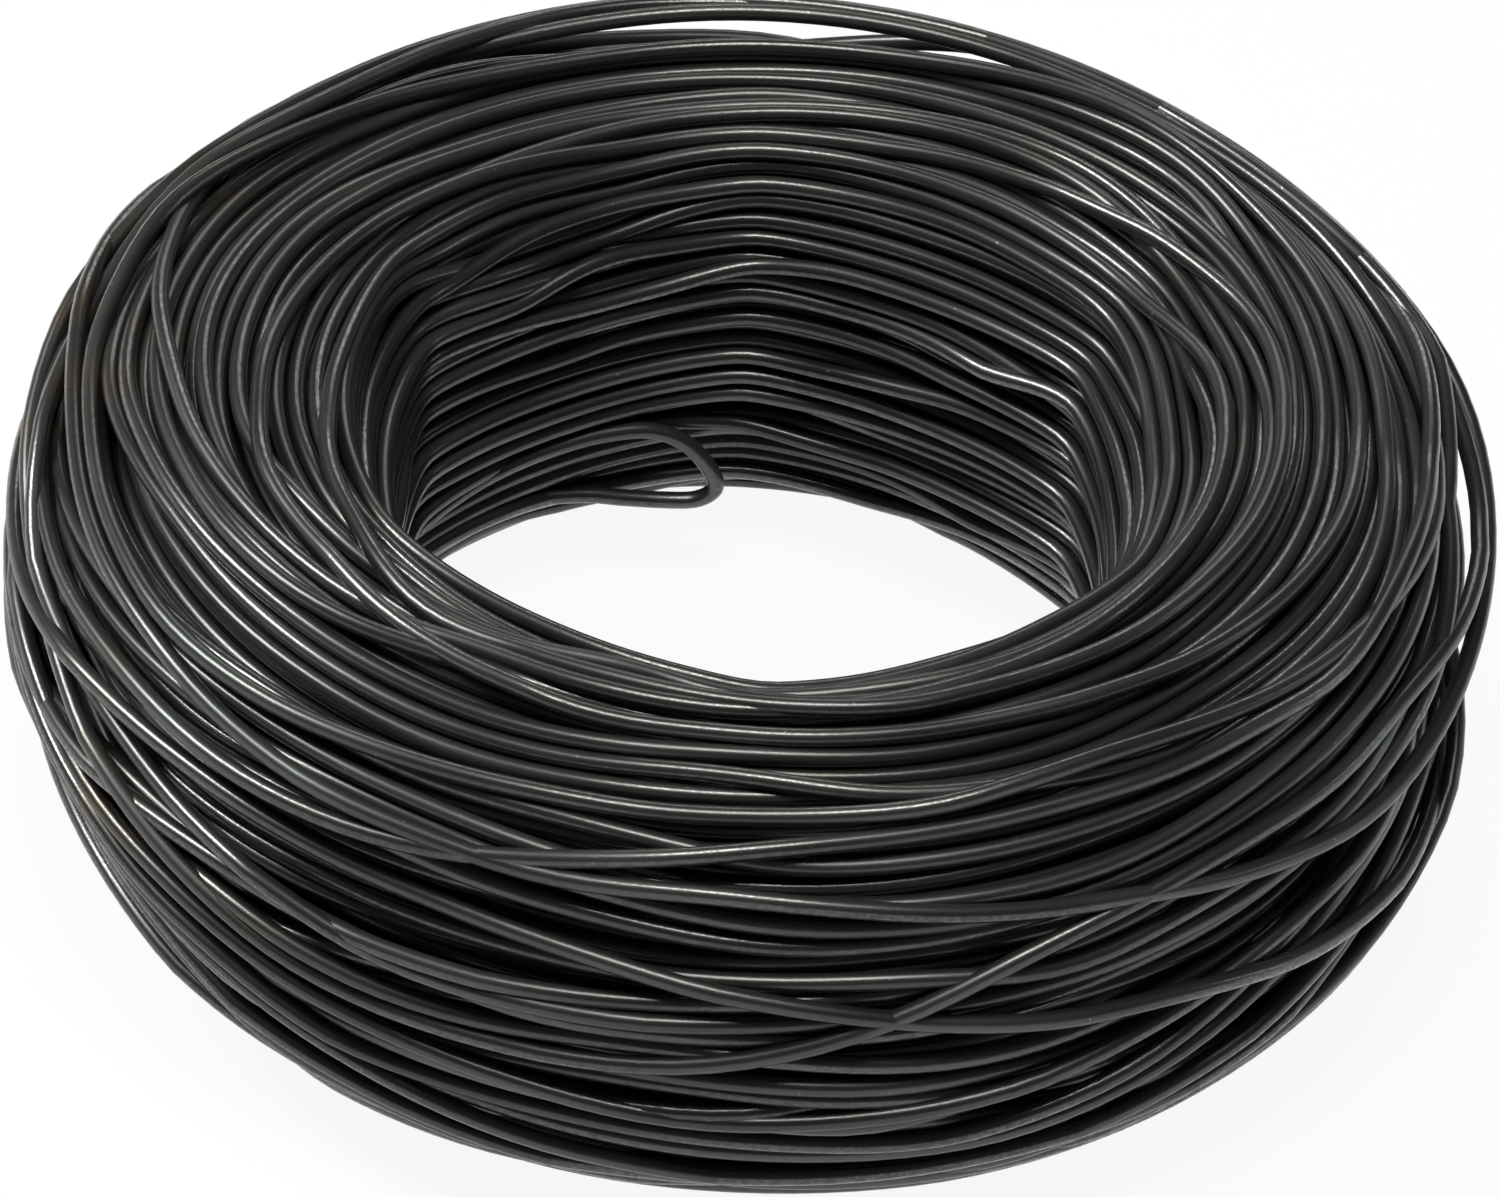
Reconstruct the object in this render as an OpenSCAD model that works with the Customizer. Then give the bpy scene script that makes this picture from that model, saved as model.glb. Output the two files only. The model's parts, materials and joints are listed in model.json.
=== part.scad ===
// Coil of annealed binding wire, lying flat on one end.
// One long wire wound on a round former into a barrel-shaped pack.
// The pack is one turned body: its section is outlined by the turns that lie on the skin,
// in the bore, on both ends and on the outside, and a few turns ride on top of the others.
// Origin: middle of the footprint, on the floor. +Z runs up along the axis of the coil.

/* [Wire] */
// Diameter of the wire
wire_d = 1.6; // [1:0.1:2]
// Distance from turn to turn along the skin, in wire diameters
turn_pitch = 1.03; // [1.01:0.01:1.2]

/* [Coil] */
// Overall diameter over the outermost turns
outer_d = 130; // [110:1:150]
// Clear diameter through the innermost turns
bore_d = 64; // [50:1:76]
// Overall height from end to end
height = 48; // [38:1:60]
// Fullness of the section towards the bore, 2 is an ellipse and 4 nearly a rectangle
bore_fullness = 2.6; // [2:0.1:4]
// Fullness of the section towards the outside
outer_fullness = 2.3; // [2:0.1:4]

/* [Lay] */
// Number of turns on the skin for each turn that rides on top of them
rider_spacing = 9; // [6:1:20]
// How deep a riding turn lies between its two neighbours, in wire diameters
rider_seat = 0.2; // [0.14:0.02:0.3]
// Depth by which single turns have sunk below the skin, in wire diameters
sunk_depth = 0.22; // [0:0.02:0.36]

/* [Hidden] */
$fn = 48;
turn_facets = 24;
coil_facets = 96;
steel = [0.09, 0.09, 0.09];

// Section of the skin: the line on which the centres of its turns lie.
// Its angle t is 0 at the outermost line, 90 at the top end, 180 in the bore.
rider_rise = (1 - rider_seat) * wire_d;
r_in = bore_d / 2 + wire_d / 2;
r_out = outer_d / 2 - wire_d / 2 - rider_rise;
r_mid = (r_in + r_out) / 2;
half_w = (r_out - r_in) / 2;
half_h = height / 2 - wire_d / 2 - rider_rise;
function signed_pow(x, p) = sign(x) * pow(abs(x), p);
function fullness(t) = t > 90 && t < 270 ? bore_fullness : outer_fullness;
function skin(t) = [
    r_mid + half_w * signed_pow(cos(t), 2 / fullness(t)),
    half_h * signed_pow(sin(t), 2 / fullness(t))
];

// Each quarter of that line holds a whole number of turns, with half a pitch at either end,
// so there is a groove at the outermost line and in the middle of both ends.
steps = 240;
function walk(q) = [for (i = [0 : steps]) skin(90 * (q + i / steps))];
function lengths(p) = [for (i = 0, s = 0; i <= steps;
    i = i + 1, s = s + (i <= steps ? norm(p[i] - p[i - 1]) : 0)) s];
function span(l, s, lo = 0, hi = steps) = hi - lo < 2 ? lo
    : let (m = floor((lo + hi) / 2)) l[m] <= s ? span(l, s, m, hi) : span(l, s, lo, m);
function at(p, l, s) = let (i = span(l, s)) p[i] + (p[i + 1] - p[i]) * (s - l[i]) / (l[i + 1] - l[i]);
function outward(p, l, s) = let (i = span(l, s), d = p[i + 1] - p[i]) [d[1], -d[0]] / norm(d);

walks = [for (q = [0 : 3]) walk(q)];
marks = [for (q = [0 : 3]) lengths(walks[q])];
counts = [for (q = [0 : 3]) floor(marks[q][steps] / (wire_d * turn_pitch))];
function pitch(q) = marks[q][steps] / counts[q];

// Riders lie in the grooves of the outside and the ends, none in the bore.
innermost_rider = r_mid - 0.4 * half_w;
function groove(q, j) = at(walks[q], marks[q], j * pitch(q));
function rides(q, j) = j % rider_spacing == 0 && groove(q, j)[0] > innermost_rider;
// A rider's seat is midway between the centres of the two turns it lies on, also where the skin bends.
function seat(q, j) = j == 0 ? groove(q, j)
    : (at(walks[q], marks[q], (j - 0.5) * pitch(q)) + at(walks[q], marks[q], (j + 0.5) * pitch(q))) / 2;
function rider(q, j) = seat(q, j) + outward(walks[q], marks[q], j * pitch(q)) * rider_rise;

// Some turns have sunk a little, none of them beside a rider.
function near_rider(q, j) = rides(q, j) || rides(q, j + 1) || j == counts[q] - 1;
function sunk(q, j) = near_rider(q, j) || j % 2 == 0 ? 0
    : sunk_depth * wire_d * pow(sin(137.5 * (j + 7 * q)), 2);
function turn(q, j) = let (s = (j + 0.5) * pitch(q))
    at(walks[q], marks[q], s) - outward(walks[q], marks[q], s) * sunk(q, j);

// The centres of all turns on the skin, riders among them, in order round the section
centres = [for (q = [0 : 3]) for (j = [0 : counts[q] - 1])
    each rides(q, j) ? [rider(q, j), turn(q, j)] : [turn(q, j)]];

module wire_coil() color(steel)
    translate([0, 0, height / 2])
        rotate_extrude($fn = coil_facets) {
            polygon(centres);
            for (c = centres) translate(c) circle(d = wire_d, $fn = turn_facets);
        }

wire_coil();
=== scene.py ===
import json
import math

import bpy
import numpy as np
from mathutils import Matrix, Vector


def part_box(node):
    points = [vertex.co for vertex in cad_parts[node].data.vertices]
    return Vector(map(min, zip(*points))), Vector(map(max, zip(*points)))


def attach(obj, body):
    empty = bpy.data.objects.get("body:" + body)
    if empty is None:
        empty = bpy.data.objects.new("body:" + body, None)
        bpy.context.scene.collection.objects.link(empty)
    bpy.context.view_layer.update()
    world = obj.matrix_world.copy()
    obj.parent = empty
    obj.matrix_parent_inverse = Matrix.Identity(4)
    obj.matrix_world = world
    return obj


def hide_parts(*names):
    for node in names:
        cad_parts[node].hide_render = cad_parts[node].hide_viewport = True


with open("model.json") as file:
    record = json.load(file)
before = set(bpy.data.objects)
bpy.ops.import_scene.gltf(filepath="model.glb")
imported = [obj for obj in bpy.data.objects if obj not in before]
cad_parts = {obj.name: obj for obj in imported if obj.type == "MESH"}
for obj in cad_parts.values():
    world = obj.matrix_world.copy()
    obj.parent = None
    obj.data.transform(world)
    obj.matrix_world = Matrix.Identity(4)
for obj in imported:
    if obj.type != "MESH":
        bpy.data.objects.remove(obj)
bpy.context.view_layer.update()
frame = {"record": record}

bl_info = {
    "name": "Coil of binding wire",
    "version": (1, 0, 0),
    "blender": (4, 5, 0),
    "location": "View3D > Sidebar > Wire coil",
    "description": "Lays the turns of an annealed steel wire round a coil and lights it on a pale floor",
    "category": "Add Mesh",
}

NODE = "wire_coil"
PHOTO_WIDTH_PX = 1500
PHOTO_HEIGHT_PX = 1197

LOW, HIGH = (Vector(corner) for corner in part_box(NODE))
BORE_RADIUS = next(m for m in frame["record"]["mounts"] if m["name"] == "bore")["dims"]["r_mm"] / 1000

# The winding is worked out at this many places round the coil,
# and in this many directions round its section.
STATIONS = 144
DIRECTIONS = 1440
# Directions on either side of a wire's middle that the wire can cover
WIRE_REACH = 34
# Height of a turn that rides in the groove between two others, over their centres, in wire diameters
RIDER_RISE = 0.8
# The wires stay this far inside the size of the coil, in metres.
SLACK = 0.00005
# The ends of a layer sink this deep, in wire diameters, within this many stations.
TUCK_DEPTH = 1.5
TUCK_STATIONS = 7
# The former: where its first bar stands, how softly the wire turns over a bar, and where its flat sides
# reach to, as a distance from the axis and a height over the middle of the coil.
FIRST_BAR = math.radians(33)
BAR_ROUNDING = math.radians(3.5)
FORMER_RADIUS = 0.033
FORMER_HALF_HEIGHT = 0.021
# Distance of the former's flat sides from its axis, on average, against that of its bars
FORMER_MEAN = 0.945
# The layers' wander is evened out by the curve it is drawn on, and this makes up for it.
WANDER_GAIN = 1.6
# A loose turn comes down by this much, in metres, to either side of the place where it stands off.
STAND_OFF_FALL = 0.004

# Places where the pack has sunk in, or is fuller where the depth is below zero: middle and width in degrees
# round the coil, middle and width in metres round the section, and depth. Distances round the section run
# from the outermost line over the top, here and below.
HOLLOWS = (
    (262, 38, 0.040, 0.008, 0.0010),
    (238, 26, 0.040, 0.009, 0.0032),
    (325, 25, 0.040, 0.008, -0.0008),
    (0, 1000, 0.081, 0.008, -0.0012),
    (45, 30, 0.081, 0.009, -0.0015),
    (108, 25, 0.081, 0.009, -0.0004),
    (150, 25, 0.081, 0.009, -0.0020),
    (315, 35, -0.018, 0.010, -0.0008),
    (163, 16, 0.014, 0.010, -0.0006),
    (103, 38, 0.024, 0.013, 0.0056),
    (2, 16, 0.010, 0.010, 0.0030),
    (350, 24, -0.002, 0.010, 0.0040),
    (197, 20, -0.012, 0.010, 0.0032),
    (200, 28, 0.004, 0.012, 0.0014),
)

# The last, loose turns, from the top down: distance round the section in millimetres, every 30 degrees.
LOOSE_TURNS = (
    (0, 4, 8, 12, 16, 21, 26, 29, 30, 31, 33, 36),
    (38.3, 41.3, 41.4, 42, 42.3, 42.5, 42, 38, 32, 31, 32, 32),
    (33, 36, 38.7, 41.2, 41, 39, 36, 32, 29, 28, 28, 27),
    (26, 26, 27, 28, 28, 24, 20, 18, 19, 21, 22, 20),
    (18, 21.5, 23.5, 24.5, 24, 19, 13, 11.5, 12.4, 17.9, 20.6, 19.6),
    (19, 19, 22, 24, 24, 22, 15, 7, 3.3, 3.5, 5.1, 10),
    (16, 19.5, 23, 22, 23, 20, 12, 4, -1, 0, 10, 12.5),
    (11.5, 19, 22, 23, 20, 17, 17, 17, 14, 14.5, 11, 6.5),
    (10, 20, 21, 12, 9, 6, 5, 8, 9.4, 6.3, 0.8, -5),
    (-6, -8, -6, -3, -3, -9, -18, -22, -19, -15, -14, -11),
    (1, 3, 1, -3, -6, -4, 1, -2, -9, -15, -17, -14),
    (-13, -12, -13, -15, -16, -16, -21, -24, -22, -20, -19, -17),
    (-16, -17, -19, -21),
)

# Where loose turns stand off the pack: turn, middle and width in degrees, height over the skin in metres.
STAND_OFFS = (
    (3, 90, 50, -0.0004),
    (4, 88, 60, 0.0014),
    (5, 94, 54, 0.0018),
    (6, 97, 50, 0.0020),
    (7, 92, 16, 0.0006),
    (7, 0, 20, 0.0016),
    (8, -2, 26, 0.0026),
    (9, 337, 12, 0.0014),
    (10, 310, 35, 0.0013),
    (11, 300, 60, 0.0013),
)

# Where the loose turns swell out past the plain shape: middle and width in degrees round the coil,
# middle and width in metres round the section, and height.
SWELLS = (
    (10, 16, 0.014, 0.010, 0.0012),
    (163, 16, 0.014, 0.010, 0.0012),
    (90, 30, 0.024, 0.010, 0.0008),
)

# The inner end of the wire, bent back on itself in the bore: degrees round the coil, height over the floor
# and distance from the axis in millimetres.
HOOK = (
    (156, 11.0, 35.5), (148, 13.0, 34.2), (140, 14.6, 33.0), (132.5, 15.5, 32.1), (124.5, 15.9, 31.6),
    (117, 16.1, 31.3), (109, 15.9, 31.0), (103.3, 14.6, 30.7), (99.4, 12.5, 30.4), (97.0, 10.2, 30.2),
    (97.5, 8.8, 30.2), (100.8, 7.8, 30.4), (106.7, 7.8, 30.8), (112.9, 8.2, 31.4), (118.3, 8.7, 32.2),
    (126, 9.0, 33.4), (134, 9.1, 35.0),
)


class CoilSizes(bpy.types.PropertyGroup):
    """Sizes of the wire and of the wound pack"""

    wire_d: bpy.props.FloatProperty(
        name="Wire", description="Diameter of the wire", default=0.0016,
        unit="LENGTH", subtype="DISTANCE")
    outer_d: bpy.props.FloatProperty(
        name="Outside", description="Overall diameter of the coil", default=HIGH.x - LOW.x,
        unit="LENGTH", subtype="DISTANCE")
    bore_d: bpy.props.FloatProperty(
        name="Bore", description="Clear diameter of the bore", default=2 * BORE_RADIUS,
        unit="LENGTH", subtype="DISTANCE")
    height: bpy.props.FloatProperty(
        name="Height", description="Height from end to end", default=HIGH.z - LOW.z,
        unit="LENGTH", subtype="DISTANCE")
    bore_fullness: bpy.props.FloatProperty(
        name="Fullness at the bore", description="2 is an ellipse and 4 nearly a rectangle", default=2.6)
    outer_fullness: bpy.props.FloatProperty(
        name="Fullness outside", description="2 is an ellipse and 4 nearly a rectangle", default=2.3)


class LayStyle(bpy.types.PropertyGroup):
    """How evenly the turns are laid"""

    seed: bpy.props.IntProperty(
        name="Seed", description="Chooses one of the many ways the wire can fall", default=7)
    bars: bpy.props.IntProperty(
        name="Former bars", description="Bars of the former that the coil was wound on", default=6)
    corner: bpy.props.FloatProperty(
        name="Corners of the bore", description="0 is a round bore and 1 a bore with flat sides",
        default=0.46, subtype="FACTOR")


class FinishColours(bpy.types.PropertyGroup):
    """Colours of the annealed steel"""

    steel: bpy.props.FloatVectorProperty(
        name="Steel", description="Colour of the annealed skin", default=(0.064, 0.070, 0.069),
        size=3, subtype="COLOR", min=0, max=1)
    rust: bpy.props.FloatVectorProperty(
        name="Rust", description="Colour of the faint rust", default=(0.11, 0.062, 0.034),
        size=3, subtype="COLOR", min=0, max=1)


class StageLook(bpy.types.PropertyGroup):
    """Camera and floor"""

    distance: bpy.props.FloatProperty(
        name="Camera distance", description="From the middle of the coil", default=0.6248,
        unit="LENGTH", subtype="DISTANCE")
    elevation: bpy.props.FloatProperty(
        name="Camera elevation", description="Angle above the floor", default=math.radians(38.5),
        unit="ROTATION", subtype="ANGLE")
    roll: bpy.props.FloatProperty(
        name="Camera roll", description="Turn of the camera about its own axis",
        default=math.radians(4.17), unit="ROTATION", subtype="ANGLE")
    focal_px: bpy.props.FloatProperty(
        name="Focal length", description="In pixels of the 1500 pixel wide picture", default=7135.0)
    centre_x_px: bpy.props.FloatProperty(
        name="Coil centre X", description="Pixels from the left to the middle of the coil", default=748.8)
    centre_y_px: bpy.props.FloatProperty(
        name="Coil centre Y", description="Pixels from the top to the middle of the coil", default=568.1)


def settings():
    return bpy.context.scene.wire_coil_settings


class Section:
    """The line round the section that the skin's wires have their centres on"""

    def __init__(self, sizes, rise):
        wire = sizes.wire_d
        r_in = (sizes.bore_d + wire) / 2
        r_out = (sizes.outer_d - wire) / 2 - rise
        self.rise = rise
        self.r_mid = (r_in + r_out) / 2
        self.z_mid = sizes.height / 2
        self.r_limit = (sizes.outer_d - wire) / 2 - SLACK
        self.z_limit = (sizes.height - wire) / 2 - SLACK
        half_w = (r_out - r_in) / 2
        half_h = (sizes.height - wire) / 2 - rise
        u = np.linspace(0, 2 * np.pi, 20001)
        full = np.where(np.cos(u) < 0, sizes.bore_fullness, sizes.outer_fullness)
        x = half_w * np.sign(np.cos(u)) * np.abs(np.cos(u)) ** (2 / full)
        y = half_h * np.sign(np.sin(u)) * np.abs(np.sin(u)) ** (2 / full)
        self.walk = np.concatenate([[0], np.cumsum(np.hypot(np.diff(x), np.diff(y)))])
        self.girth = self.walk[-1]
        self.turn = np.unwrap(np.arctan2(y, x))
        self.turn[0] = 0
        self.reach = np.hypot(x, y)

    def angle(self, s):
        laps = np.floor(s / self.girth)
        return np.interp(s - laps * self.girth, self.walk, self.turn) + laps * 2 * np.pi

    def radius(self, t):
        return np.interp(np.mod(t, 2 * np.pi), self.turn, self.reach)


def drift(rng, knots_per_turn, turns, spread):
    """Smooth random wander along the wire, as a sum of a few waves round the coil that change slowly."""
    spread = np.asarray(spread)[:, None] * WANDER_GAIN
    knots = int(turns * knots_per_turn) + 6
    size = (len(spread), knots)
    k = rng.normal(0, 1, size) + 1j * rng.normal(0, 1, size)
    along = np.arange(turns * STATIONS + 1) / STATIONS
    x = along * knots_per_turn + 1
    i = np.floor(x).astype(int)
    f = x - i
    weights = ((1 - f) ** 3, 3 * f**3 - 6 * f**2 + 4, -3 * f**3 + 3 * f**2 + 3 * f + 1, f**3)
    waves = sum(k[:, i + j - 1] * w for j, w in enumerate(weights)) / 6 * spread
    order = np.arange(len(spread))[:, None]
    return np.real(waves * np.exp(2j * np.pi * order * along[None, :])).sum(0)


def swell(section, places, theta, t):
    """Sum of smooth bumps, each with its middle and width round the coil and round the section."""
    total = 0 * (theta + t)
    for around, width, at, reach, height in places:
        middle = section.angle(np.array(at))
        gap = (np.mod(theta - math.radians(around) + np.pi, 2 * np.pi) - np.pi) / math.radians(width)
        side = (np.mod(t - middle + np.pi, 2 * np.pi) - np.pi) * section.radius(middle) / reach
        total += height * np.exp(-gap**2 - side**2)
    return total


class Pack:
    """The wound pack: how far out the next wire comes to rest, at every station and in every direction."""

    def __init__(self, section, wire, depth=2.0):
        self.section = section
        self.wire = wire
        t = self.middle(np.arange(DIRECTIONS))[None, :]
        theta = 2 * np.pi * np.arange(STATIONS)[:, None] / STATIONS
        outside = 0.5 + 0.5 * np.cos(t)
        self.rest = section.radius(t) - wire * (depth + 0.5 * outside**0.6) + 0 * theta
        self.rest -= swell(section, HOLLOWS, theta, t)
        self.window = np.arange(-WIRE_REACH, WIRE_REACH + 1)

    def middle(self, b):
        return (b + 0.5) * 2 * np.pi / DIRECTIONS

    def bin(self, t):
        return np.floor(t * DIRECTIONS / (2 * np.pi)).astype(int)

    def height(self, i, t):
        return self.rest[i, self.bin(t) % DIRECTIONS]

    def add(self, i, t, rho):
        b = self.bin(t)[:, None] + self.window
        delta = self.middle(b) - t[:, None]
        side = rho[:, None] * np.sin(delta)
        top = rho[:, None] * np.cos(delta) + np.sqrt(np.clip(self.wire**2 - side**2, 0, None))
        top[np.abs(side) >= self.wire] = 0
        rows = np.repeat(i[:, None], len(self.window), 1)
        np.maximum.at(self.rest, (rows.ravel(), (b % DIRECTIONS).ravel()), top.ravel())

    def lay(self, guide, hover=None, stiff=6.0, keep=0.3, span=40, ease=3):
        """Lays one wire along a guide, letting it slip sideways into the grooves below and bridge over
        hollows. Where hover is given, the wire stays at least that far over the skin."""
        slips = np.linspace(-0.8, 0.8, 17)
        jump = stiff * (slips[:, None] - slips) ** 2
        s_all, r_all = np.zeros(len(guide)), np.zeros(len(guide))
        last_slip, tail = None, np.zeros(0)
        for a in range(0, len(guide), STATIONS):
            g = guide[a:a + STATIONS]
            i = (a + np.arange(len(g))) % STATIONS
            s = g[:, None] + slips * self.wire
            t = self.section.angle(s)
            cost = (self.height(i[:, None], t) - self.section.radius(t)) / self.wire + keep * slips**2
            total = cost[0] + (0 if last_slip is None else 4 * stiff * (slips - last_slip) ** 2)
            came = np.zeros(cost.shape, int)
            for q in range(1, len(g)):
                ways = total[:, None] + jump
                came[q] = np.argmin(ways, 0)
                total = ways[came[q], np.arange(len(slips))] + cost[q]
            slip = np.zeros(len(g))
            j = int(np.argmin(total))
            for q in range(len(g) - 1, -1, -1):
                slip[q] = slips[j]
                j = came[q][j]
            before = [] if last_slip is None else [last_slip] * 3
            slip = soften(np.concatenate([before, slip]), 4)[len(before):]
            last_slip = slip[-1]
            s = g + slip * self.wire
            t = self.section.angle(s)
            base = self.section.radius(t)
            under = self.height(i, t) - base
            if hover is not None:
                under = np.maximum(under, hover[a:a + STATIONS])
            floor = np.concatenate([tail, under])
            lift = floor.copy()
            for _ in range(span):
                lift = np.maximum(floor, soften(lift, 1))
                lift[:len(tail)] = tail
            for _ in range(ease):
                lift[len(tail):] = soften(lift, 1)[len(tail):]
            lift = lift[len(tail):]
            tail = lift[-8:]
            self.add(i, t, base + lift)
            s_all[a:a + len(g)], r_all[a:a + len(g)] = s, base + lift
        theta = 2 * np.pi * np.arange(len(guide)) / STATIONS
        t = self.section.angle(s_all)
        full = self.section.radius(t) + self.section.rise + swell(self.section, SWELLS, theta, t)
        return theta, t, np.minimum(r_all, full)


def soften(x, times):
    for _ in range(times):
        x = np.concatenate([x[:1], 0.25 * x[:-2] + 0.5 * x[1:-1] + 0.25 * x[2:], x[-1:]])
    return x


def bar_shape(theta, bars):
    """Radius of a former with flat sides between its bars, against a round one."""
    half = math.pi / bars
    phase = np.mod(theta - FIRST_BAR + half, 2 * half) - half
    away = np.sqrt(phase**2 + BAR_ROUNDING**2) - BAR_ROUNDING * 0.4
    return math.cos(half) / np.cos(half - away) / FORMER_MEAN - 1


def place(section, lay, theta, t, rho):
    """Points in space from the place round the coil, the direction round the section and the distance
    from its middle, with the bore drawn out over the bars of the former."""
    r = section.r_mid + rho * np.cos(t)
    z = section.z_mid + rho * np.sin(t)
    inner = np.clip((section.r_mid - r) / (section.r_mid - FORMER_RADIUS), 0, 1)
    level = np.clip(1 - ((z - section.z_mid) / FORMER_HALF_HEIGHT) ** 4, 0, 1)
    r = r * (1 + lay.corner * inner * level * bar_shape(theta, lay.bars))
    r = np.minimum(r, section.r_limit)
    z = section.z_mid + np.clip(z - section.z_mid, -section.z_limit, section.z_limit)
    return np.stack([r * np.cos(theta), r * np.sin(theta), z], -1)


def tube(name, routes, radius, sides):
    """One mesh of round tubes along the routes, with their ends closed and a lay attribute for the grain."""
    verts, lays, faces = [], [], []
    start, run = 0, 0.0
    ring = 2 * np.pi * np.arange(sides) / sides
    for p in routes:
        n = len(p)
        along = np.gradient(p, axis=0)
        along /= np.linalg.norm(along, axis=1)[:, None]
        out = p * (1, 1, 0)
        out -= (out * along).sum(1)[:, None] * along
        out /= np.linalg.norm(out, axis=1)[:, None]
        side = np.cross(along, out)
        spokes = np.cos(ring)[None, :, None] * out[:, None] + np.sin(ring)[None, :, None] * side[:, None]
        verts.append((p[:, None] + radius * spokes).reshape(-1, 3))
        length = run + np.concatenate([[0], np.cumsum(np.linalg.norm(np.diff(p, axis=0), axis=1))])
        run = length[-1] + 1.0
        lay = np.empty((n, sides, 3))
        lay[..., 0] = length[:, None]
        lay[..., 1] = radius * np.cos(ring)
        lay[..., 2] = radius * np.sin(ring)
        lays.append(lay.reshape(-1, 3))
        a = start + sides * np.arange(n - 1)[:, None] + np.arange(sides)
        b = start + sides * np.arange(n - 1)[:, None] + (np.arange(sides) + 1) % sides
        faces.append(np.stack([a, b, b + sides, a + sides], -1).reshape(-1, 4))
        start += n * sides
    verts, lays, quads = np.concatenate(verts), np.concatenate(lays), np.concatenate(faces)
    caps, at = [], 0
    for p in routes:
        caps.append(np.arange(at, at + sides)[::-1])
        at += len(p) * sides
        caps.append(np.arange(at - sides, at))
    mesh = bpy.data.meshes.new(name)
    mesh.vertices.add(len(verts))
    mesh.vertices.foreach_set("co", verts.ravel())
    corners = np.concatenate([quads.ravel(), np.concatenate(caps)])
    mesh.loops.add(len(corners))
    mesh.loops.foreach_set("vertex_index", corners)
    mesh.polygons.add(len(quads) + len(caps))
    starts = np.concatenate([4 * np.arange(len(quads)), 4 * len(quads) + sides * np.arange(len(caps))])
    mesh.polygons.foreach_set("loop_start", starts)
    mesh.attributes.new("lay", "FLOAT_VECTOR", "POINT").data.foreach_set("vector", lays.ravel())
    mesh.update(calc_edges=True)
    mesh.validate()
    mesh.polygons.foreach_set("use_smooth", np.arange(len(mesh.polygons)) < len(quads))
    piece = bpy.data.objects.new(name, mesh)
    bpy.context.collection.objects.link(piece)
    return piece


class Value:
    """A shader socket that Python's operators work on."""

    def __init__(self, nodes, socket):
        self.nodes, self.socket = nodes, socket

    def _math(self, operation, *values):
        return self.nodes.add("ShaderNodeMath", {"operation": operation}, dict(enumerate(values)))

    def __add__(self, other):
        return self._math("ADD", self, other)

    __radd__ = __add__

    def __mul__(self, other):
        return self._math("MULTIPLY", self, other)

    __rmul__ = __mul__

    def __rsub__(self, other):
        return self._math("SUBTRACT", other, self)

    def most(self, other):
        return self._math("MAXIMUM", self, other)

    def band(self, low, high):
        return self.nodes.add("ShaderNodeMapRange", {"interpolation_type": "SMOOTHSTEP"},
                              {"Value": self, "From Min": low, "From Max": high})


class Nodes:
    """Builds a node tree, one call a node."""

    def __init__(self, tree):
        self.tree = tree
        tree.nodes.clear()

    def add(self, kind, options=None, inputs=None, output=0):
        node = self.tree.nodes.new(kind)
        for key, value in (options or {}).items():
            setattr(node, key, value)
        for key, value in (inputs or {}).items():
            if isinstance(value, Value):
                self.tree.links.new(value.socket, node.inputs[key])
            else:
                node.inputs[key].default_value = value
        return Value(self, node.outputs[output]) if node.outputs else node

    def mix(self, factor, a, b):
        return self.add("ShaderNodeMix", {"data_type": "RGBA"}, {"Factor": factor, 6: a, 7: b}, output=2)

    def noise(self, vector, scale, detail=2.0, roughness=0.5):
        return self.add("ShaderNodeTexNoise", None,
                        {"Vector": vector, "Scale": scale, "Detail": detail, "Roughness": roughness})

    def seen(self):
        """1 for what the camera sees straight, in gloss or through glass"""
        straight = self.add("ShaderNodeLightPath", output=0)
        rays = straight.socket.node.outputs
        in_gloss = Value(self, rays["Is Glossy Ray"])
        through_glass = Value(self, rays["Is Transmission Ray"])
        return straight.most(in_gloss).most(through_glass)

    def stretch(self, vector, scale):
        return self.add("ShaderNodeMapping", None, {"Vector": vector, "Scale": scale})


def rgba(colour):
    return (*colour, 1.0)


def annealed_steel():
    """Near-black annealed steel: a dull sheen, drawing grain along the wire, dust and a breath of rust."""
    colours = settings().colours
    material = bpy.data.materials.new("annealed_steel")
    material.use_nodes = True
    n = Nodes(material.node_tree)
    lay = n.add("ShaderNodeAttribute", {"attribute_name": "lay"}, output=1)
    spot = n.add("ShaderNodeTexCoord", output=3)
    grain = n.noise(n.stretch(lay, (60, 5000, 5000)), 1.0, 3.0, 0.6)
    blotch = n.noise(n.stretch(lay, (40, 300, 300)), 1.0, 3.0, 0.55)
    tone = n.noise(spot, 60.0, 4.0, 0.65)
    left = 1 - n.add("ShaderNodeSeparateXYZ", None, {"Vector": spot}).band(-0.055, -0.03)
    oil = n.noise(n.stretch(lay, (18, 150, 150)), 1.0, 2.0).band(0.42, 0.62)
    sparkle = n.noise(n.stretch(lay, (2500, 4500, 4500)), 1.0, 2.0).band(0.42, 0.6)
    speck = n.noise(n.stretch(lay, (1500, 1500, 1500)), 1.0, 2.0).band(0.72, 0.80)
    dull, bright = (rgba(c * k for c in colours.steel) for k in (0.75, 1.3))
    steel = n.mix(blotch.band(0.35, 0.75), dull, bright)
    colour = n.mix(tone.band(0.54, 0.70) * (0.06 + 0.30 * left), steel, rgba(colours.rust))
    colour = n.mix(speck * 0.5, colour, rgba((0.4, 0.4, 0.39)))
    rough = 0.25 + 0.14 * blotch
    bump = n.add("ShaderNodeBump", None, {"Strength": 0.25, "Distance": 0.00003, "Height": grain})
    shader = n.add("ShaderNodeBsdfPrincipled", None, {
        "Base Color": colour, "Roughness": rough, "Metallic": 0.75, "Normal": bump,
        "Coat Weight": (0.1 + 0.9 * oil) * (0.2 + 0.8 * sparkle),
        "Coat Roughness": 0.13, "Coat IOR": 1.5})
    n.add("ShaderNodeOutputMaterial", None, {"Surface": shader})
    return material


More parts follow.
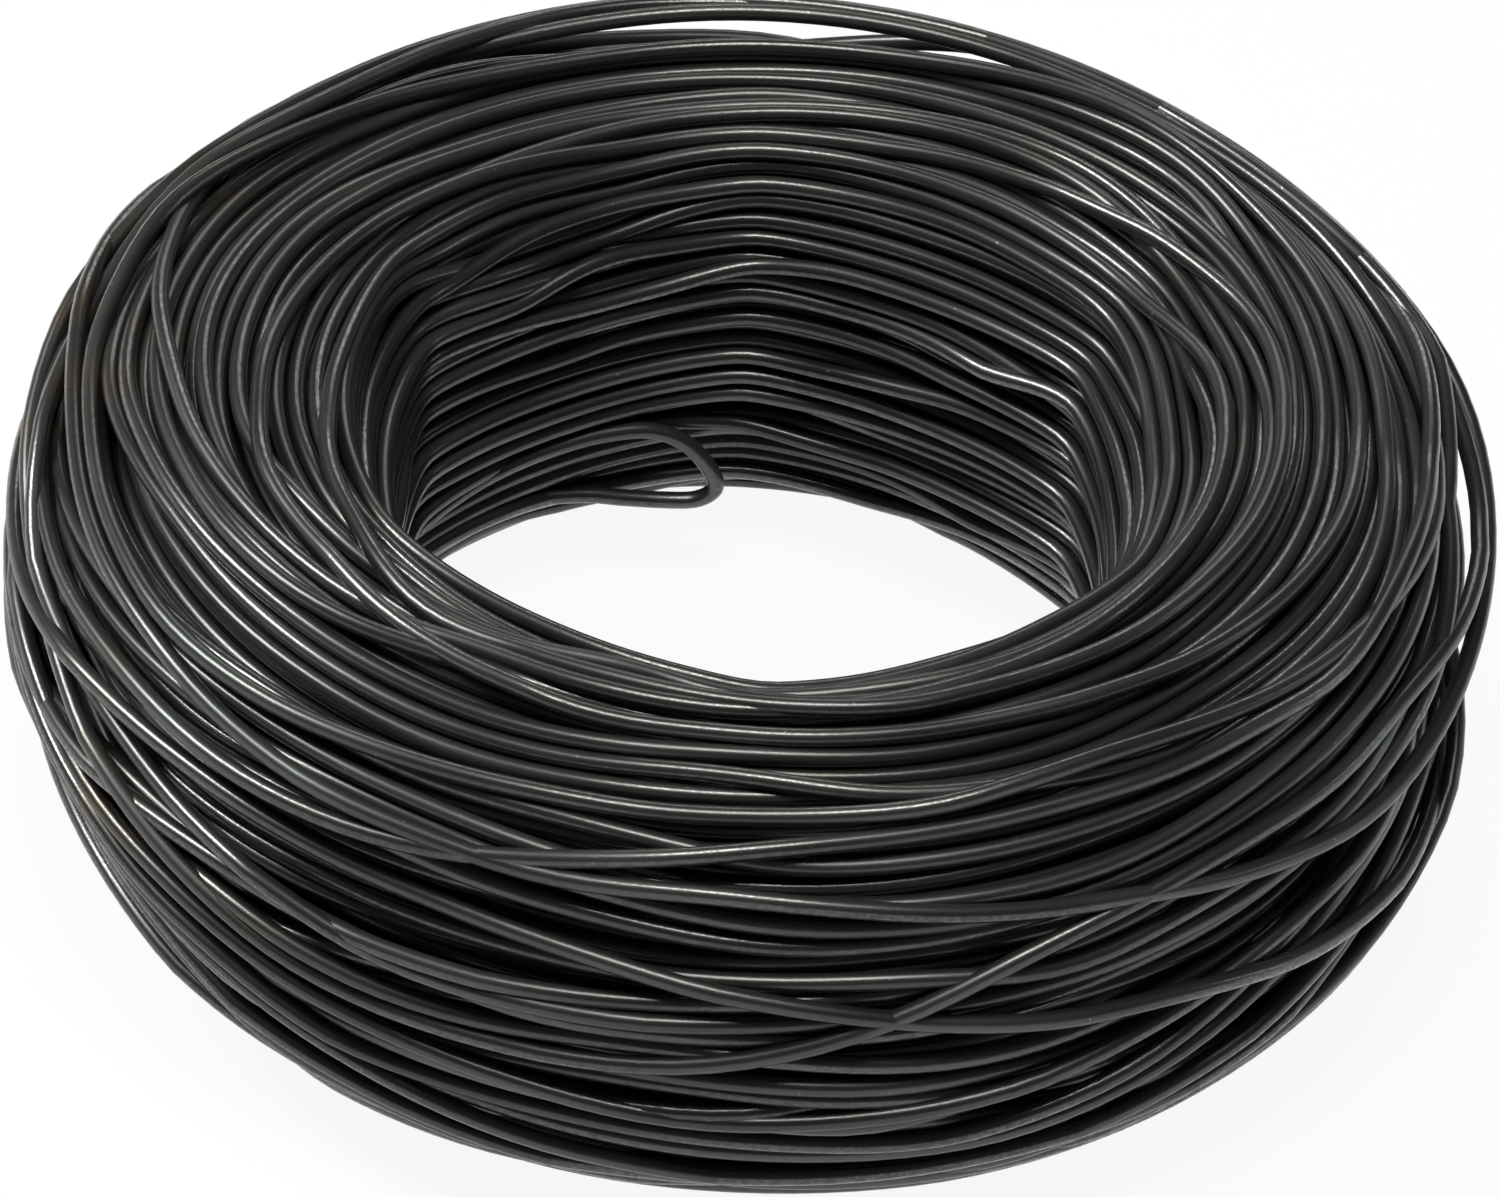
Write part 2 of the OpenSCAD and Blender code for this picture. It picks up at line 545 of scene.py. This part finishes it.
def painted_shade_core():
    """Painted shade for the inside of the pack: near-black instead of the steel's own colour, as no light
    gets there
    """
    material = bpy.data.materials.new("painted_shade_core")
    material.use_nodes = True
    n = Nodes(material.node_tree)
    spot = n.add("ShaderNodeTexCoord", output=3)
    tone = n.noise(n.stretch(spot, (200, 200, 900)), 1.0, 2.0)
    # near-black painted shade; the inner turns are really the same steel as the skin
    colour = n.mix(tone, rgba((0.004, 0.004, 0.004)), rgba((0.009, 0.009, 0.009)))
    shader = n.add("ShaderNodeBsdfPrincipled", None, {"Base Color": colour, "Roughness": 0.9})
    n.add("ShaderNodeOutputMaterial", None, {"Surface": shader})
    return material


def dress(piece, material):
    piece.data.materials.append(material)
    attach(piece, "root")
    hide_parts(NODE)


def wander_room(section, s):
    """1 on the outside of the coil, falling to nearly nothing in the bore, where the turns lie neatly."""
    return 0.05 + 0.95 * (0.5 + 0.5 * np.cos(section.angle(s))) ** 1.1


def through(knots, x):
    """A smooth curve through evenly spaced knots."""
    knots = np.concatenate([[2 * knots[0] - knots[1]], knots, [2 * knots[-1] - knots[-2]] * 2])
    i = np.clip(np.floor(x).astype(int), 0, len(knots) - 4)
    f = x - i
    a, b, c, d = (knots[i + j] for j in range(4))
    return b + f * ((c - a) + f * ((2 * a - 5 * b + 4 * c - d) + f * (3 * (b - c) + d - a))) / 2


def loose_guide():
    """Guide and height over the skin of the last turns, which hang together as one wire."""
    knots = np.concatenate(LOOSE_TURNS) / 1000
    per_knot = STATIONS // 12
    count = (len(knots) - 1) * per_knot
    guide = through(knots, np.arange(count) / per_knot)
    hover = np.full(count, -1.0)
    turn = np.arange(count) / STATIONS
    for number, around, width, height in STAND_OFFS:
        gap = (turn - number - around / 360) * 360 / width
        fall = STAND_OFF_FALL * (1 - np.exp(-gap**2))
        too_far = np.abs(gap) > 3
        hover = np.maximum(hover, height - fall - 5 * STAND_OFF_FALL * too_far)
    return guide, hover


def tuck(theta, t, rho, depth):
    """Sinks both ends of a layer under the turns beside them, where one layer leads on to the next."""
    k = np.arange(len(t))
    at_start, at_end = (np.exp(-(gap / TUCK_STATIONS) ** 2) for gap in (k, len(t) - k))
    return theta, t, rho - depth * (at_start + at_end)


class COIL_OT_lay_turns(bpy.types.Operator):
    """Lay the wire of the coil, layer on layer, out to its skin"""

    bl_idname = "coil.lay_turns"
    bl_label = "Lay turns"

    def execute(self, context):
        s = settings()
        wire = s.sizes.wire_d
        section = Section(s.sizes, RIDER_RISE * wire)
        pack = Pack(section, wire)
        rng = np.random.default_rng(s.lay.seed)
        steel = annealed_steel()
        layers = (
            ("under_turns", 1.2, 0.3, 0.2, 8),
            ("middle_turns", 1.5, 0.8, 0.5, 12),
            ("skin_turns", 1.85, 1.3, 1.0, 16),
        )
        end = np.zeros((0, 3))
        for name, pitch, together, alone, sides in layers:
            turns = int(section.girth / (pitch * wire))
            guide = np.arange(turns * STATIONS + 1) / (turns * STATIONS) * section.girth
            room = wander_room(section, guide)
            shared = drift(rng, 1 / 6, turns, (0.4, 1.0, 0.7, 0.4))
            own = drift(rng, 1.0, turns, (0.3, 1.0, 0.6, 0.2))
            guide = guide + wire * room * (together * shared + alone * own)
            way = tuck(*pack.lay(guide[:-1]), TUCK_DEPTH * wire)
            route = np.concatenate([end, place(section, s.lay, *way)])
            end = route[-1:]
            piece = tube(name, [route], wire / 2, sides)
            dress(piece, steel)
        guide, hover = loose_guide()
        way = tuck(*pack.lay(guide, hover, keep=1.2, ease=6), TUCK_DEPTH * wire)
        route = np.concatenate([end, place(section, s.lay, *way)])
        piece = tube("loose_turns", [route], wire / 2, 18)
        dress(piece, steel)
        self.report({"INFO"}, "Turns laid")
        return {"FINISHED"}


class COIL_OT_bend_inner_end(bpy.types.Operator):
    """Bend the inner end of the wire back on itself, low in the bore"""

    bl_idname = "coil.bend_inner_end"
    bl_label = "Bend inner end"

    def execute(self, context):
        wire = settings().sizes.wire_d
        around, z, r = np.array(HOOK).T
        steps = np.arange((len(HOOK) - 1) * 8 + 1) / 8
        around = np.radians(through(around, steps))
        z, r = through(z, steps) / 1000, through(r, steps) / 1000
        route = np.stack([r * np.cos(around), r * np.sin(around), z], -1)
        dress(tube("inner_end", [route], wire / 2, 16), bpy.data.materials["annealed_steel"])
        return {"FINISHED"}


class COIL_OT_add_core(bpy.types.Operator):
    """Fill the middle of the pack, below the turns that can be seen"""

    bl_idname = "coil.add_core"
    bl_label = "Add core"

    def execute(self, context):
        s = settings()
        wire = s.sizes.wire_d
        section = Section(s.sizes, RIDER_RISE * wire)
        bpy.ops.object.select_all(action="DESELECT")
        bpy.ops.mesh.primitive_torus_add(
            major_segments=96, minor_segments=48, major_radius=section.r_mid, minor_radius=0.01,
            location=(0, 0, section.z_mid))
        core = context.active_object
        core.name = core.data.name = "pack_core"
        bpy.ops.object.transform_apply(location=True, rotation=True, scale=True)
        start = Pack(section, wire)
        co = np.empty(3 * len(core.data.vertices))
        core.data.vertices.foreach_get("co", co)
        x, y, z = co.reshape(-1, 3).T
        theta = np.arctan2(y, x)
        t = np.arctan2(z - section.z_mid, np.hypot(x, y) - section.r_mid)
        station = np.round(theta * STATIONS / (2 * np.pi)).astype(int) % STATIONS
        rho = start.height(station, t) - 0.5 * wire
        core.data.vertices.foreach_set("co", place(section, s.lay, theta, t, rho).ravel())
        core.data.update()
        bpy.ops.object.shade_smooth()
        # the core is coloured near-black as painted shade, not in the steel's own colour
        dress(core, painted_shade_core())
        return {"FINISHED"}


class COIL_OT_set_stage(bpy.types.Operator):
    """Put the coil on a pale floor under soft studio light and set the camera"""

    bl_idname = "coil.set_stage"
    bl_label = "Set stage"

    def execute(self, context):
        look = settings().stage
        scene = context.scene
        scene.view_settings.view_transform = "Standard"
        middle = Vector((0, 0, (LOW.z + HIGH.z) / 2))
        self.floor(context)
        self.camera(context, look, middle)
        self.lamps(context, middle)
        self.world(scene)
        return {"FINISHED"}

    def floor(self, context):
        bpy.ops.object.select_all(action="DESELECT")
        bpy.ops.mesh.primitive_plane_add(size=6.0, location=(0, 0, LOW.z - 0.0002))
        floor = context.active_object
        floor.name = floor.data.name = "floor"
        bpy.ops.object.transform_apply(location=True, rotation=True, scale=True)
        material = bpy.data.materials.new("pale_floor")
        material.use_nodes = True
        n = Nodes(material.node_tree)
        seen = n.seen()
        pale = n.add("ShaderNodeBsdfDiffuse", None, {"Color": rgba((0.8, 0.8, 0.8))})
        white = n.add("ShaderNodeEmission", None, {"Color": rgba((1, 1, 1)), "Strength": 1.0})
        surface = n.add("ShaderNodeMixShader", None, {"Fac": seen * 0.92, 1: pale, 2: white})
        n.add("ShaderNodeOutputMaterial", None, {"Surface": surface})
        floor.data.materials.append(material)

    def camera(self, context, look, middle):
        away = Vector((0, -math.cos(look.elevation), math.sin(look.elevation)))
        ahead = -away
        right = Vector((1, 0, 0))
        up = right.cross(ahead)
        x = math.cos(look.roll) * right + math.sin(look.roll) * up
        y = -math.sin(look.roll) * right + math.cos(look.roll) * up
        off_x = (look.centre_x_px - PHOTO_WIDTH_PX / 2) / look.focal_px
        off_y = (PHOTO_HEIGHT_PX / 2 - look.centre_y_px) / look.focal_px
        ahead = (ahead - x * off_x - y * off_y).normalized()
        x = (x - x.dot(ahead) * ahead).normalized()
        y = x.cross(ahead)
        camera = bpy.data.cameras.new("camera")
        camera.sensor_width = 36.0
        camera.lens = 36.0 * look.focal_px / PHOTO_WIDTH_PX
        camera.clip_start = 0.01
        holder = bpy.data.objects.new("camera", camera)
        context.collection.objects.link(holder)
        turn = Matrix((x, y, -ahead)).transposed().to_4x4()
        holder.matrix_world = Matrix.Translation(middle + away * look.distance) @ turn
        context.scene.camera = holder

    def lamps(self, context, middle):
        lamps = (
            ("top_softbox", (0.0, -0.18, 0.82), 0.34, 0.22, 4.3, (1.0, 0.975, 0.90)),
            ("back_softbox", (0.0, 0.75, 0.55), 0.40, 0.20, 0.8, (1.0, 0.98, 0.93)),
            ("left_key", (-0.62, 0.16, 0.62), 0.18, 0.30, 6.4, (1.0, 0.985, 0.93)),
            ("right_fill", (0.8, 0.1, 0.3), 0.1, 0.4, 0.3, (0.93, 0.97, 1.0)),
        )
        for name, at, width, length, power, colour in lamps:
            light = bpy.data.lights.new(name, "AREA")
            light.shape = "RECTANGLE"
            light.size, light.size_y = width, length
            light.energy = power
            light.color = colour
            lamp = bpy.data.objects.new(name, light)
            context.collection.objects.link(lamp)
            lamp.location = at
            lamp.rotation_euler = (middle - Vector(at)).to_track_quat("-Z", "Y").to_euler()

    def world(self, scene):
        world = bpy.data.worlds.new("studio")
        world.use_nodes = True
        scene.world = world
        n = Nodes(world.node_tree)
        way = n.add("ShaderNodeTexCoord", output=0)
        height = n.add("ShaderNodeSeparateXYZ", None, {"Vector": way}, output=2)
        backdrop = 1 - 0.94 * height.band(0.0, 0.15)
        room = n.add("ShaderNodeBackground", None, {"Color": rgba((0.95, 0.97, 1.0)), "Strength": 0.13})
        white = n.add("ShaderNodeBackground", None, {"Color": rgba((1, 1, 1)), "Strength": backdrop})
        surface = n.add("ShaderNodeMixShader", None, {"Fac": n.seen(), 1: room, 2: white})
        n.add("ShaderNodeOutputWorld", None, {"Surface": surface})


class CoilSettings(bpy.types.PropertyGroup):
    """All that can be set on the coil"""

    sizes: bpy.props.PointerProperty(type=CoilSizes)
    lay: bpy.props.PointerProperty(type=LayStyle)
    colours: bpy.props.PointerProperty(type=FinishColours)
    stage: bpy.props.PointerProperty(type=StageLook)


class COIL_PT_panel(bpy.types.Panel):
    """The coil's settings and steps"""

    bl_label = "Wire coil"
    bl_space_type = "VIEW_3D"
    bl_region_type = "UI"
    bl_category = "Wire coil"

    def draw(self, context):
        for group in (settings().sizes, settings().lay, settings().colours, settings().stage):
            box = self.layout.box()
            for key in group.__annotations__:
                box.prop(group, key)
        for step in STEPS:
            self.layout.operator(step.bl_idname)


STEPS = (COIL_OT_add_core, COIL_OT_lay_turns, COIL_OT_bend_inner_end, COIL_OT_set_stage)
CLASSES = (CoilSizes, LayStyle, FinishColours, StageLook, CoilSettings, *STEPS, COIL_PT_panel)


def register():
    for cls in CLASSES:
        bpy.utils.register_class(cls)
    bpy.types.Scene.wire_coil_settings = bpy.props.PointerProperty(type=CoilSettings)


def unregister():
    del bpy.types.Scene.wire_coil_settings
    for cls in reversed(CLASSES):
        bpy.utils.unregister_class(cls)


def main():
    register()
    bpy.ops.coil.add_core()
    bpy.ops.coil.lay_turns()
    bpy.ops.coil.bend_inner_end()
    bpy.ops.coil.set_stage()


if __name__ == "__main__":
    main()
